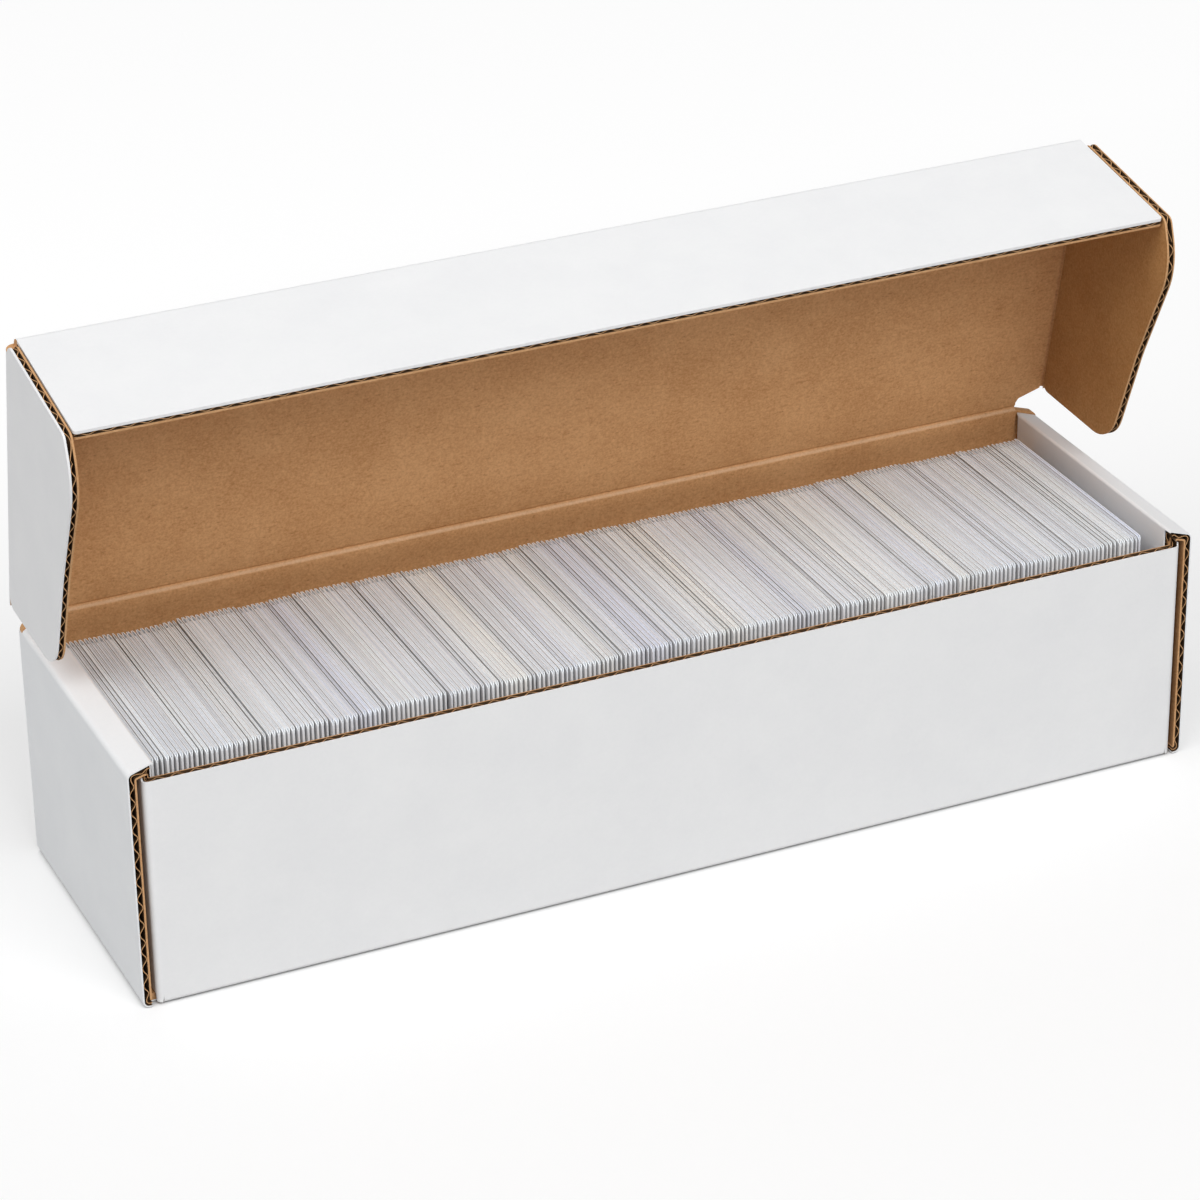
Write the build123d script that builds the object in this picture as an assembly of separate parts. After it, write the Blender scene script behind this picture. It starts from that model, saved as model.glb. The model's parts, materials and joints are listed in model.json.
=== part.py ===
from build123d import *
import os

# Corrugated board: two facings with a fluted sheet between them
board = 3.0
liner = 0.4
medium = 0.45
flute_pitch = 6.35
crushed_width = 4.5
fold_radius = 2.0
fold_gap = 0.3
cut_overrun = 1.0

# Tray
box_length = 384.0
box_depth = 110.0
box_height = 88.0
front_drop = 6.5
side_gap = 0.4
band_drop = 2.0
band_outer_radius = 2.6
band_inner_radius = 1.4

# Corner flaps and locking tabs of the double ends
corner_flap_length = 38.0
corner_flap_radius = 8.0
corner_flap_clearance = 0.5
tab_width = 22.0
tab_spacing = 54.0
tab_radius = 2.0
tab_tip_clearance = 0.2
slot_clearance = 0.25

# Lid, drawn closed and then opened about the crease on the back wall
lid_clearance = 0.8
lid_open_angle = 78.0
flap_depth = 57.0
flap_clearance = 0.8
flap_rest_angle = 3.0
flap_end_gap = 0.5

# Ears on the short sides of the lid
ear_clearance = 0.6
ear_foot_share = 0.06
ear_rise = 2.6
ear_corner_radius = 4.0
ear_foot_radius = 3.0
ear_shoulder_radius = 27.0
ear_waist_radius = 80.0
ear_tip_radius = 15.0
# Ear points from shoulder to tip: reach along the lid, then depth, as shares of lid reach and flap depth
ear_shoulder_shares = (0.905, 1.15)
ear_waist_shares = (0.52, 0.97)
ear_tip_shares = (0.134, 0.846)

# Cards in clear holders, standing on edge in one row
card_thickness = 1.57
card_pitch = 1.63
card_corner = 2.5
pack_count = 10
card_lift = 0.2
card_drop = 2.8
card_front_gap = 3.0
card_rear_gap = 12.1
row_left_gap = 1.0
row_spare_room = 6.0

# Places that follow from the sizes above
half_length = box_length / 2
half_depth = box_depth / 2
end_stack = 3 * board
front_height = box_height - front_drop
band_under = box_height - band_drop - board
crease_radius = board / 2
panel_start = crease_radius + fold_gap
front_width = box_length - 2 * (board + side_gap)
hinge_half_width = half_length - end_stack - side_gap
hinge_y = half_depth - board / 2
hinge_z = box_height + lid_clearance + board / 2
lid_reach = box_depth + flap_clearance
flap_width = box_length + 2 * (ear_clearance - flap_end_gap)
ear_axis_x = half_length + ear_clearance + board / 2
ear_foot = lid_reach * ear_foot_share
ear_top = lid_reach + board / 2
card_width = box_depth - 2 * board - card_front_gap - card_rear_gap
card_height = box_height - card_drop - board - card_lift
row_length = box_length - 2 * end_stack - row_left_gap - row_spare_room
cards_per_pack = int(row_length / (pack_count * card_pitch))


def flute_wires(low, high):
    """Triangular openings left and right of the fluted sheet, along X, centred on the board."""
    room = high - low
    count = int(room / flute_pitch)
    first = low + (room - count * flute_pitch) / 2 + flute_pitch / 2
    half_core = board / 2 - liner
    half_base = flute_pitch / 2 - medium
    wires = []
    for index in range(count):
        crest = first + index * flute_pitch
        for side in (1, -1):
            centre = crest + (flute_pitch / 2 if side < 0 else 0)
            if centre + half_base > high:
                continue
            foot = -side * half_core
            peak = side * (half_core - medium)
            points = [(centre - half_base, foot), (centre + half_base, foot), (centre, peak)]
            wires.append(Wire.make_polygon([Vector(x, y) for x, y in points], close=True))
    return wires


def fluted_face(outline, low, high):
    return Face(outline.face().outer_wire(), flute_wires(low, high))


def long_panel(width, run):
    """Panel folded along its foot, flutes up its height, outer face at -Y, ends rounded outside."""
    outline = Rectangle(width, board)
    outer_corners = outline.vertices().group_by(Axis.Y)[0]
    outline = fillet(outer_corners, fold_radius)
    half_room = width / 2 - crushed_width
    fluted = extrude(fluted_face(outline, -half_room, half_room), run - crushed_width)
    foot = extrude(outline.face(), crushed_width)
    return foot + Pos(0, 0, crushed_width) * fluted


def front_wall():
    wall = long_panel(front_width, front_height)
    foot_edge = wall.edges().filter_by(Axis.X).group_by(Axis.Z)[0].sort_by(Axis.Y)[0]
    wall = fillet(foot_edge, fold_radius)
    return Pos(0, -half_depth + board / 2, 0) * wall


def back_wall():
    """Full width below the bands, narrower between them, up to the lid crease."""
    shoulder = band_under - corner_flap_clearance
    top = hinge_z - panel_start
    outline = Polyline(
        (-front_width / 2, 0),
        (front_width / 2, 0),
        (front_width / 2, shoulder),
        (hinge_half_width, shoulder),
        (hinge_half_width, top),
        (-hinge_half_width, top),
        (-hinge_half_width, shoulder),
        (-front_width / 2, shoulder),
        close=True,
    )
    wall = extrude(Plane.XZ * make_face(outline), board / 2, both=True)
    foot_edge = wall.edges().filter_by(Axis.X).group_by(Axis.Z)[0].sort_by(Axis.Y)[-1]
    end_edges = wall.edges().filter_by(Axis.Z).group_by(Axis.Y)[-1].sort_by(Axis.X)
    wall = fillet([foot_edge, end_edges[0], end_edges[-1]], fold_radius)
    return Pos(0, half_depth - board / 2, 0) * wall


def base_panel():
    base = Pos(0, 0, board / 2) * Box(box_length - 2 * board, box_depth - 2 * board, board)
    slot = Box(board + 2 * slot_clearance, tab_width + 2 * slot_clearance, board + 2 * cut_overrun)
    slot_x = half_length - end_stack + board / 2
    for x in (-slot_x, slot_x):
        for y in (-tab_spacing / 2, tab_spacing / 2):
            base -= Pos(x, y, board / 2) * slot
    return base


def right_outer_end_wall():
    """Drawn flat: X runs up the wall and -Y is its outer face; the flutes run along the depth."""
    outline = Rectangle(band_under, board)
    foot_corner = outline.vertices().group_by(Axis.X)[0].sort_by(Axis.Y)[0]
    outline = fillet(foot_corner, fold_radius)
    face = fluted_face(outline, -band_under / 2 + crushed_width, band_under / 2)
    wall = extrude(face, box_depth / 2, both=True)
    upright = Plane(origin=(half_length - board / 2, 0, band_under / 2), x_dir=(0, 0, 1), z_dir=(0, 1, 0))
    return upright * wall


def right_top_band():
    """Roll-over strip: a low roof that rises from the outer to the inner end wall."""
    roof = Polyline(
        (half_length, band_under),
        (half_length, box_height - band_drop),
        (half_length - end_stack, box_height),
        (half_length - end_stack, band_under),
        close=True,
    )
    section = make_face(roof)
    high_corners = section.vertices().sort_by(Axis.Y)[-2:].sort_by(Axis.X)
    section = fillet(high_corners[-1], band_outer_radius)
    inner_corner = section.vertices().sort_by(Axis.Y)[-1]
    section = fillet(inner_corner, band_inner_radius)
    return extrude(Plane.XZ * section, half_depth, both=True)


def right_inner_end_wall():
    width = box_depth - 2 * (board + side_gap)
    wall = Pos(0, 0, (band_under + board) / 2) * Box(board, width, band_under - board)
    tab_length = board - tab_tip_clearance
    tab = Pos(0, 0, tab_tip_clearance + tab_length / 2) * Box(board, tab_width, tab_length)
    tab = fillet(tab.edges().filter_by(Axis.X).group_by(Axis.Z)[0], tab_radius)
    for y in (-tab_spacing / 2, tab_spacing / 2):
        wall += Pos(0, y, 0) * tab
    return Pos(half_length - end_stack + board / 2, 0, 0) * wall


def front_right_corner_flap():
    height = band_under - board - 2 * corner_flap_clearance
    middle_z = board + corner_flap_clearance + height / 2
    flap = Box(board, corner_flap_length, height)
    free_edges = flap.edges().filter_by(Axis.X).group_by(Axis.Y)[-1]
    flap = fillet(free_edges, corner_flap_radius)
    middle_y = -half_depth + board + corner_flap_length / 2
    return Pos(half_length - end_stack / 2, middle_y, middle_z) * flap


def lid_panel():
    """Narrow between the end bands at the crease, full width from the ears' feet to the flap."""
    wide = ear_axis_x - panel_start
    far = lid_reach - panel_start
    outline = Polyline(
        (-hinge_half_width, -panel_start),
        (-wide, -ear_foot),
        (-wide, -far),
        (wide, -far),
        (wide, -ear_foot),
        (hinge_half_width, -panel_start),
        close=True,
    )
    panel = extrude(make_face(outline), board / 2, both=True)
    return Pos(0, hinge_y, hinge_z) * panel


def left_ear():
    """Fluted blank along the lid's side, trimmed to the curved ear outline."""
    deepest = flap_depth * max(ear_shoulder_shares[1], ear_tip_shares[1])
    blank_outline = Pos((panel_start + deepest) / 2, 0) * Rectangle(deepest - panel_start, board)
    blank_face = fluted_face(blank_outline, panel_start + crushed_width, deepest)
    crease_foot = (-ear_axis_x, hinge_y, hinge_z)
    along_lid = Plane(origin=crease_foot, x_dir=(0, 0, -1), z_dir=(0, -1, 0))
    blank = along_lid * extrude(blank_face, ear_top + ear_rise)

    shoulder, waist, tip = [
        (lid_reach * reach, flap_depth * depth)
        for reach, depth in (ear_shoulder_shares, ear_waist_shares, ear_tip_shares)
    ]
    foot = (ear_foot, panel_start)
    top = (ear_top, panel_start)
    front = (ear_top + ear_rise, flap_depth)
    corners = [foot, top, front, shoulder, waist, tip]
    radii = [
        ear_foot_radius,
        ear_corner_radius,
        ear_foot_radius,
        ear_shoulder_radius,
        ear_waist_radius,
        ear_tip_radius,
    ]
    outline = make_face(Polyline(*corners, close=True))
    for corner, radius in zip(corners, radii):
        vertex = outline.vertices().sort_by_distance(Vector(*corner))[0]
        outline = fillet(vertex, radius)
    lid_side = Plane(origin=crease_foot, x_dir=(0, -1, 0), z_dir=(1, 0, 0))
    cutter = lid_side * extrude(outline, board / 2 + cut_overrun, both=True)
    return blank & cutter


def crease_bar(length, centre, direction):
    bar = extrude(Circle(crease_radius), length / 2, both=True)
    return Plane(origin=centre, z_dir=direction) * bar


def left_ear_crease():
    end = lid_reach - panel_start
    middle_y = hinge_y - (ear_foot + end) / 2
    return crease_bar(end - ear_foot, (-ear_axis_x, middle_y, hinge_z), (0, 1, 0))


def open_flap(shape):
    crease = Pos(0, hinge_y - lid_reach, hinge_z)
    return crease * Rot(-flap_rest_angle, 0, 0) * crease.inverse() * shape


def open_lid(shape):
    crease = Pos(0, hinge_y, hinge_z)
    return crease * Rot(-lid_open_angle, 0, 0) * crease.inverse() * shape


def front_flap():
    run = flap_depth - panel_start
    flap = Pos(0, 0, panel_start) * long_panel(flap_width, run)
    hanging = Pos(0, hinge_y - lid_reach, hinge_z) * Rot(0, 180, 0) * flap
    return open_flap(hanging)


def card():
    """One card in its holder, seen along the row, with its four corners taken off."""
    outline = Rectangle(card_width, card_height)
    outline = chamfer(outline.vertices(), card_corner)
    return extrude(Plane.YZ * outline, card_thickness)


def card_pack(index):
    first_x = -half_length + end_stack + row_left_gap + index * cards_per_pack * card_pitch
    middle_y = -half_depth + board + card_front_gap + card_width / 2
    middle_z = board + card_lift + card_height / 2
    shape = card()
    cards = [Pos(first_x + place * card_pitch, middle_y, middle_z) * shape for place in range(cards_per_pack)]
    return Compound(children=cards)


def mirrored(shape):
    return mirror(shape, about=Plane.YZ)


def turned_back(shape):
    return mirror(shape, about=Plane.XZ)


outer_end = right_outer_end_wall()
band = right_top_band()
inner_end = right_inner_end_wall()
corner_flap = front_right_corner_flap()
ear = left_ear()
ear_crease = left_ear_crease()
flap_crease = crease_bar(flap_width, (0, hinge_y - lid_reach, hinge_z), (1, 0, 0))

nodes = {
    "base_panel": base_panel(),
    "front_wall": front_wall(),
    "back_wall": back_wall(),
    "right_outer_end_wall": outer_end,
    "left_outer_end_wall": mirrored(outer_end),
    "right_top_band": band,
    "left_top_band": mirrored(band),
    "right_inner_end_wall": inner_end,
    "left_inner_end_wall": mirrored(inner_end),
    "front_right_corner_flap": corner_flap,
    "front_left_corner_flap": mirrored(corner_flap),
    "rear_right_corner_flap": turned_back(corner_flap),
    "rear_left_corner_flap": turned_back(mirrored(corner_flap)),
    "lid_crease": crease_bar(2 * hinge_half_width, (0, hinge_y, hinge_z), (1, 0, 0)),
    "lid_panel": open_lid(lid_panel()),
    "flap_crease": open_lid(flap_crease),
    "lid_front_flap": open_lid(front_flap()),
    "left_ear_crease": open_lid(ear_crease),
    "right_ear_crease": open_lid(mirrored(ear_crease)),
    "left_ear": open_lid(ear),
    "right_ear": open_lid(mirrored(ear)),
}
for pack_index in range(pack_count):
    nodes[f"card_pack_{pack_index + 1:02d}"] = card_pack(pack_index)

os.makedirs("parts", exist_ok=True)
for name, shape in nodes.items():
    export_step(shape, f"parts/{name}.step")
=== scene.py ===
import json
import math

import bmesh
import bpy
from mathutils import Matrix, Quaternion, Vector


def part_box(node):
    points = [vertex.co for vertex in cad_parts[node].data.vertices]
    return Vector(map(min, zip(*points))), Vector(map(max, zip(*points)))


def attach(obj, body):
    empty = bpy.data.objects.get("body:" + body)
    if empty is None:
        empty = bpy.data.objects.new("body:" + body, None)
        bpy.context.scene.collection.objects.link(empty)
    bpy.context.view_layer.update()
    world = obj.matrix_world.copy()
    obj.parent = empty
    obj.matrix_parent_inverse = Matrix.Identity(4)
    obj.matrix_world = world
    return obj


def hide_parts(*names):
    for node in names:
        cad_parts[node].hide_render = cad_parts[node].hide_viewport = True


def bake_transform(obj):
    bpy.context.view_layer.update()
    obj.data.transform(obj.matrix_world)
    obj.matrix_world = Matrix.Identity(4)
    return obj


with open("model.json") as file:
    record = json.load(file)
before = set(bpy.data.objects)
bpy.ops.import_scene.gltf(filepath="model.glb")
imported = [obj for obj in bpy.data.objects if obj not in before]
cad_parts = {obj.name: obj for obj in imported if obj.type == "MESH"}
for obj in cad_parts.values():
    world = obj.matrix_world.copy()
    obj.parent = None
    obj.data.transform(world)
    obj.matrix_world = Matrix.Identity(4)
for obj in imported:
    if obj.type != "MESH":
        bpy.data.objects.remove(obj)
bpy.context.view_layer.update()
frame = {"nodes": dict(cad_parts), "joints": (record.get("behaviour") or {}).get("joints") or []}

mm = 0.001
origin = Vector((0, 0, 0))
xAxis, yAxis, zAxis = Vector((1, 0, 0)), Vector((0, 1, 0)), Vector((0, 0, 1))
sideNames = {-1: "left", 1: "right"}


# Node wiring, for shaders and geometry trees alike

class Wire:
    def __init__(self, tree, socket):
        self.tree = tree
        self.socket = socket

    def __add__(self, other):
        return mathNode(self.tree, "ADD", self, other)

    def __radd__(self, other):
        return mathNode(self.tree, "ADD", other, self)

    def __sub__(self, other):
        return mathNode(self.tree, "SUBTRACT", self, other)

    def __rsub__(self, other):
        return mathNode(self.tree, "SUBTRACT", other, self)

    def __mul__(self, other):
        return mathNode(self.tree, "MULTIPLY", self, other)

    def __rmul__(self, other):
        return mathNode(self.tree, "MULTIPLY", other, self)

    def __truediv__(self, other):
        return mathNode(self.tree, "DIVIDE", self, other)


def addNode(tree, kind, settings, inputs, output=0):
    node = tree.nodes.new(kind)
    for key, value in settings.items():
        if key == "stops":
            band = node.color_ramp
            while len(band.elements) < len(value):
                band.elements.new(0.5)
            for element, (place, colour) in zip(band.elements, value):
                element.position = place
                element.color = colour
        else:
            setattr(node, key, value)
    for key, value in inputs.items():
        if isinstance(value, Wire):
            tree.links.new(value.socket, node.inputs[key])
        else:
            node.inputs[key].default_value = value
    return Wire(tree, node.outputs[output])


def mathNode(tree, operation, *terms):
    return addNode(tree, "ShaderNodeMath", {"operation": operation}, dict(enumerate(terms)))


def alongAxis(tree, place, axis):
    return addNode(tree, "ShaderNodeSeparateXYZ", {}, {0: place}, "XYZ".index(axis))


def mixColour(tree, share, low, high):
    return addNode(tree, "ShaderNodeMix", {"data_type": "RGBA"}, {0: share, 6: low, 7: high}, 2)


def noise(tree, place, size):
    scale, detail, rough = size
    inputs = {"Vector": place, "Scale": scale, "Detail": detail, "Roughness": rough}
    return addNode(tree, "ShaderNodeTexNoise", {}, inputs)


def drift(tree, place):
    return addNode(tree, "ShaderNodeTexNoise", {"noise_dimensions": "1D"}, {"W": place, "Scale": 1.0})


def ramp(tree, value, stops):
    grey = [(place, (level, level, level, 1)) for place, level in stops]
    return addNode(tree, "ShaderNodeValToRGB", {"stops": grey}, {0: value})


def attribute(tree, name):
    return addNode(tree, "ShaderNodeAttribute", {"attribute_name": name}, {}, 2)     # output 2 is a number


def startMaterial(name):
    material = bpy.data.materials.new(name)
    material.use_nodes = True
    tree = material.node_tree
    tree.nodes.clear()
    return material, tree, addNode(tree, "ShaderNodeTexCoord", {}, {}, "Object")


def finishMaterial(tree, inputs):
    surface = addNode(tree, "ShaderNodeBsdfPrincipled", {}, inputs)
    out = tree.nodes.new("ShaderNodeOutputMaterial")
    tree.links.new(surface.socket, out.inputs[0])


def finishPaper(tree, settings, colour, grain, relief):
    bump = addNode(tree, "ShaderNodeBump", {},
                   {"Height": relief, "Distance": 1.0, "Strength": settings["bump"]})
    finishMaterial(tree, {"Base Color": colour, "Normal": bump, "Specular IOR Level": settings["specular"],
                          "Roughness": settings["roughness"] + (grain - 0.5) * settings["roughnessSwing"]})


# Materials of the board

whiteSet = {
    "low": (0.825, 0.828, 0.838, 1),
    "high": (0.866, 0.868, 0.872, 1),
    "cloud": (40.0, 5.0, 0.6),           # scale, detail and roughness of the noise
    "grain": (900.0, 4.0, 0.6),
    "cloudShare": 0.7,
    "grainShare": 0.3,
    "toneStops": [(0.32, 0.0), (0.66, 1.0)],
    "roughness": 0.58,
    "roughnessSwing": 0.25,
    "ribHeight": 0.015 * mm,             # the flutes, showing faintly through the paper
    "grainHeight": 0.06 * mm,
    "cloudHeight": 0.10 * mm,
    "bump": 0.6,
    "specular": 0.32,
}


def whiteLiner(name, ribAxis, tint):
    material, tree, place = startMaterial(name)
    low, high = [tuple(level * share for level, share in zip(whiteSet[key], tint)) for key in ("low", "high")]
    cloud, grain = noise(tree, place, whiteSet["cloud"]), noise(tree, place, whiteSet["grain"])
    tone = ramp(tree, cloud * whiteSet["cloudShare"] + grain * whiteSet["grainShare"], whiteSet["toneStops"])
    ribs = mathNode(tree, "SINE", alongAxis(tree, place, ribAxis) * (2 * math.pi / boardSet["pitch"]))
    relief = ribs * whiteSet["ribHeight"] + grain * whiteSet["grainHeight"] + cloud * whiteSet["cloudHeight"]
    finishPaper(tree, whiteSet, mixColour(tree, tone, low, high), grain, relief)
    return material


kraftSet = {
    "dark": (0.430, 0.205, 0.078, 1),
    "mid": (0.560, 0.290, 0.122, 1),
    "light": (0.670, 0.385, 0.185, 1),
    "fleck": (0.260, 0.115, 0.042, 1),
    "worn": (0.830, 0.640, 0.430, 1),    # paler where a fold has stretched the paper, and a painted highlight on the lit side of the hinge ridge
    "wornLeast": 0.5,                    # its share where the fibre is darkest
    "cloud": (38.0, 5.0, 0.6),
    "fibre": (1150.0, 7.0, 0.68),
    "strand": (1265.0, 3.0, 0.6),
    "strandStretch": (0.35, 1.0, 1.0),
    "pulpShares": (0.55, 0.25, 0.20),    # of fibre, cloud and strand
    "pulpStops": [(0.40, 0.0), (0.60, 1.0)],
    "evenness": 0.30,
    "fleckStops": [(0.27, 1.0), (0.36, 0.0)],
    "fleckShare": 0.45,
    "roughness": 0.78,
    "roughnessSwing": 0.2,
    "fibreHeight": 0.12 * mm,
    "strandHeight": 0.05 * mm,
    "bump": 0.7,
    "specular": 0.25,
}


def kraftPaper(name, gain, contrast):
    material, tree, place = startMaterial(name)
    dark, mid, light, fleck = [tuple(level * share for level, share in zip(kraftSet[key], gain)) + (1,)
                               for key in ("dark", "mid", "light", "fleck")]
    cloud, fibre = noise(tree, place, kraftSet["cloud"]), noise(tree, place, kraftSet["fibre"])
    stretch = addNode(tree, "ShaderNodeMapping", {}, {"Vector": place, "Scale": kraftSet["strandStretch"]})
    strand = noise(tree, stretch, kraftSet["strand"])
    fibreShare, cloudShare, strandShare = kraftSet["pulpShares"]
    pulp = fibre * fibreShare + cloud * cloudShare + strand * strandShare
    pulp = ramp(tree, pulp, kraftSet["pulpStops"])
    body = mixColour(tree, pulp * contrast + (1 - contrast) / 2, dark, light)
    body = mixColour(tree, kraftSet["evenness"], body, mid)
    # paler kraft where the mesh says: stretched paper at a fold, and on the hinge ridge a painted highlight
    worn = attribute(tree, "worn") * (kraftSet["wornLeast"] + fibre)
    body = mixColour(tree, worn, body, kraftSet["worn"])
    flecks = ramp(tree, strand, kraftSet["fleckStops"]) * kraftSet["fleckShare"]
    relief = fibre * kraftSet["fibreHeight"] + strand * kraftSet["strandHeight"]
    finishPaper(tree, kraftSet, mixColour(tree, flecks, body, fleck), fibre, relief)
    return material


boardSet = {
    "whiteFacing": 0.50 * mm,
    "kraftFacing": 0.65 * mm,
    "medium": 0.26 * mm,         # the fluted sheet
    "mediumDrop": 0.25 * mm,     # how far it stays behind the facings' edges
    "pitch": 6.35 * mm,
    "stepsPerFlute": 12,
    "shortestFlute": 0.75 * mm,
    "unevenRate": 60.0,          # changes of the pitch along a metre of board
    "uneven": 0.35,              # their size, as a share of the pitch
    "weld": 0.001 * mm,
    "bendRadius": 1.8 * mm,      # of the board's middle, at a folded corner
    "bendSteps": 8,
    "bendHold": 0.30 * mm,       # flat run kept beside a bend, so the shading stays at the bend
    "holdRoom": 3,               # times the hold, the least flat run that gets one
    "foldSteps": 12,
    "straightFrom": 0.9999,      # cosine between the normals at the ends of a flat run
    "crushedLoft": 0.35,         # how much of the flute is left at a fold
    "crushedRun": 2.5 * mm,      # from a fold to the full flute
    "sharpAngle": 32,            # degrees, from where an edge stays sharp
    "fluteSharpAngle": 50,
}
whiteAcross = whiteLiner("whiteLinerAcross", "X", (1, 1, 1, 1))
# the ends' white liner, ribbed upright, is painted a little brighter and cooler: painted light offsetting the
# lid's warm bounce and shade on the band
whiteUprightPaintedLift = whiteLiner("whiteLinerUpright", "Z", (1.01, 1.022, 1.03, 1))
kraftInside = kraftPaper("kraftInside", (1.20, 1.20, 1.20), 1.0)
# the ears' kraft, darker and more saturated than the lid's: painted shade for the hood under the lid and flap
kraftEar = kraftPaper("kraftEar", (0.78, 0.74, 0.60), 1.0)
# the ends' kraft side, darkened: painted shade in the narrow gaps at the front corners
kraftGap = kraftPaper("kraftGap", (0.55, 0.53, 0.50), 1.0)
kraftCut = kraftPaper("kraftCutEdge", (1.08, 1.14, 1.22), 0.8)
# near-black kraft: painted shade for the flute cells and the hidden faces between the facings
kraftHollow = kraftPaper("kraftHollow", (0.15, 0.15, 0.15), 0.8)
print("materials:", len(bpy.data.materials))


# Sizes read from the frame

joints = {joint["name"]: joint for joint in frame["joints"]}


def reach(node, start, direction):
    places = [(vertex.co - start).dot(direction) for vertex in frame["nodes"][node].data.vertices]
    return min(places), max(places)


frontFace, frontBack = reach("front_wall", origin, yAxis)
board = frontBack - frontFace
half = board / 2
bend = boardSet["bendRadius"]
hinge = Vector(joints["lid_hinge"]["pos_m"])
fold = Vector(joints["flap_fold"]["pos_m"])
earX = joints["right_ear_fold"]["pos_m"][0]
lidReach = (fold - hinge).length
alongLid = (fold - hinge).normalized()
intoLid = Vector((0, -alongLid.z, alongLid.y))     # the way the ears hang
flapTurn = Quaternion(Vector(joints["flap_fold"]["axis"]), math.radians(-joints["flap_fold"]["range_deg"][0]))
flapDown = flapTurn @ intoLid
flapOut = flapTurn @ alongLid
flapDepth = reach("lid_front_flap", fold, flapDown)[1]
flapWide = reach("lid_front_flap", fold, xAxis)[1]
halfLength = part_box("right_outer_end_wall")[1].x
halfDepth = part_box("right_outer_end_wall")[1].y
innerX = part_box("right_inner_end_wall")[0].x
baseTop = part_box("base_panel")[1].z
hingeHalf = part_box("lid_crease")[1].x


# Mesh building

class Parts:
    def __init__(self):
        self.points = []
        self.faces = []
        self.slots = []

    def face(self, corners, slot):
        self.faces.append(tuple(corners))
        self.slots.append(slot)


white, inside, cut, hollowPaintedShade = 0, 1, 2, 3      # material slots of a board piece; the last holds the near-black kraft, painted shade in the flute cells
boardFacings = (boardSet["whiteFacing"], boardSet["kraftFacing"])
ring = 4                                     # points at each station of a skin


def addSkin(parts, stations, along, outer, inner, slots):
    first = len(parts.points)
    for index, (point, normal, low, high) in enumerate(stations):
        top = outer[index] if isinstance(outer, list) else outer
        under = inner[index] if isinstance(inner, list) else inner
        for lift, end in ((top, low), (top, high), (under, high), (under, low)):
            parts.points.append(point + normal * lift + along * end)
    for index in range(len(stations) - 1):
        here = first + ring * index
        for side in range(ring):
            after = (side + 1) % ring
            parts.face((here + side, here + after, here + ring + after, here + ring + side), slots[side])
    last = first + ring * (len(stations) - 1)
    parts.face(range(first, first + ring), slots[1])
    parts.face(reversed(range(last, last + ring)), slots[1])


def addPlate(parts, outline, place, outer, inner, slots):
    first, count = len(parts.points), len(outline)
    for lift in (outer, inner):
        parts.points.extend(place(u, v, lift) for u, v in outline)
    parts.face(range(first, first + count), slots[0])
    parts.face(reversed(range(first + count, first + 2 * count)), slots[1])
    for index in range(count):
        after = (index + 1) % count
        parts.face((first + index, first + after, first + count + after, first + count + index), slots[2])


def linkMesh(name, mesh):
    piece = bpy.data.objects.new(name, mesh)
    bpy.context.scene.collection.objects.link(piece)
    return piece


def smooth(mesh, sharpAngle):
    mesh.polygons.foreach_set("use_smooth", [True] * len(mesh.polygons))
    mesh.set_sharp_from_angle(angle=math.radians(sharpAngle))


def makePiece(name, parts, materials, sharpAngle=boardSet["sharpAngle"]):
    mesh = bpy.data.meshes.new(name)
    mesh.from_pydata(parts.points, [], parts.faces)
    for material in materials:
        mesh.materials.append(material)
    mesh.polygons.foreach_set("material_index", parts.slots)
    shell = bmesh.new()
    shell.from_mesh(mesh)
    bmesh.ops.recalc_face_normals(shell, faces=shell.faces)
    shell.to_mesh(mesh)
    shell.free()
    smooth(mesh, sharpAngle)
    return linkMesh(name, mesh)


def roundCorner(before, corner, after, radius, steps):
    arrive, leave = (corner - before).normalized(), (after - corner).normalized()
    turn = arrive.angle_signed(leave)
    back = radius * math.tan(abs(turn) / 2)          # from the corner to where its arc starts
    sideways = Vector((-arrive.y, arrive.x)) * (-1 if turn > 0 else 1)
    middle = corner - arrive * back + sideways * radius
    arc = []
    for step in range(steps + 1):
        swing = Matrix.Rotation(-turn * step / steps, 2)
        arc.append((middle - swing @ sideways * radius, swing @ arrive))
    return arc, back, arrive, leave


# A path's points, each with the normal on its right hand
def bentPath(corners, radii):
    hold = boardSet["bendHold"]
    room = boardSet["holdRoom"] * hold
    path = []

    def note(point, direction):
        path.append((point, Vector((direction.y, -direction.x))))

    note(corners[0], (corners[1] - corners[0]).normalized())
    for before, corner, after, radius in zip(corners, corners[1:], corners[2:], radii):
        arc, back, arrive, leave = roundCorner(before, corner, after, radius, boardSet["bendSteps"])
        if (corner - before).length > back + room:
            note(corner - arrive * (back + hold), arrive)
        for point, direction in arc:
            note(point, direction)
        if (after - corner).length > back + room:
            note(corner + leave * (back + hold), leave)
    note(corners[-1], (corners[-1] - corners[-2]).normalized())
    return path


# The white face and the kraft back of one bent board, paired point by point
def facedPath(corners, outerRadii, innerRadii):
    corners = [Vector(corner) for corner in corners]
    ways = [(after - before).normalized() for before, after in zip(corners, corners[1:])]
    sides = [Vector((way.y, -way.x)) for way in ways]

    def moved(lift):
        return [corner + (one + two) * (lift / (1 + one.dot(two)))
                for corner, one, two in zip(corners, sides[:1] + sides, sides + sides[-1:])]

    outer, inner = bentPath(moved(half), outerRadii), bentPath(moved(-half), innerRadii)
    return [(face, back, normal) for (face, normal), (back, same) in zip(outer, inner)]


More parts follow.
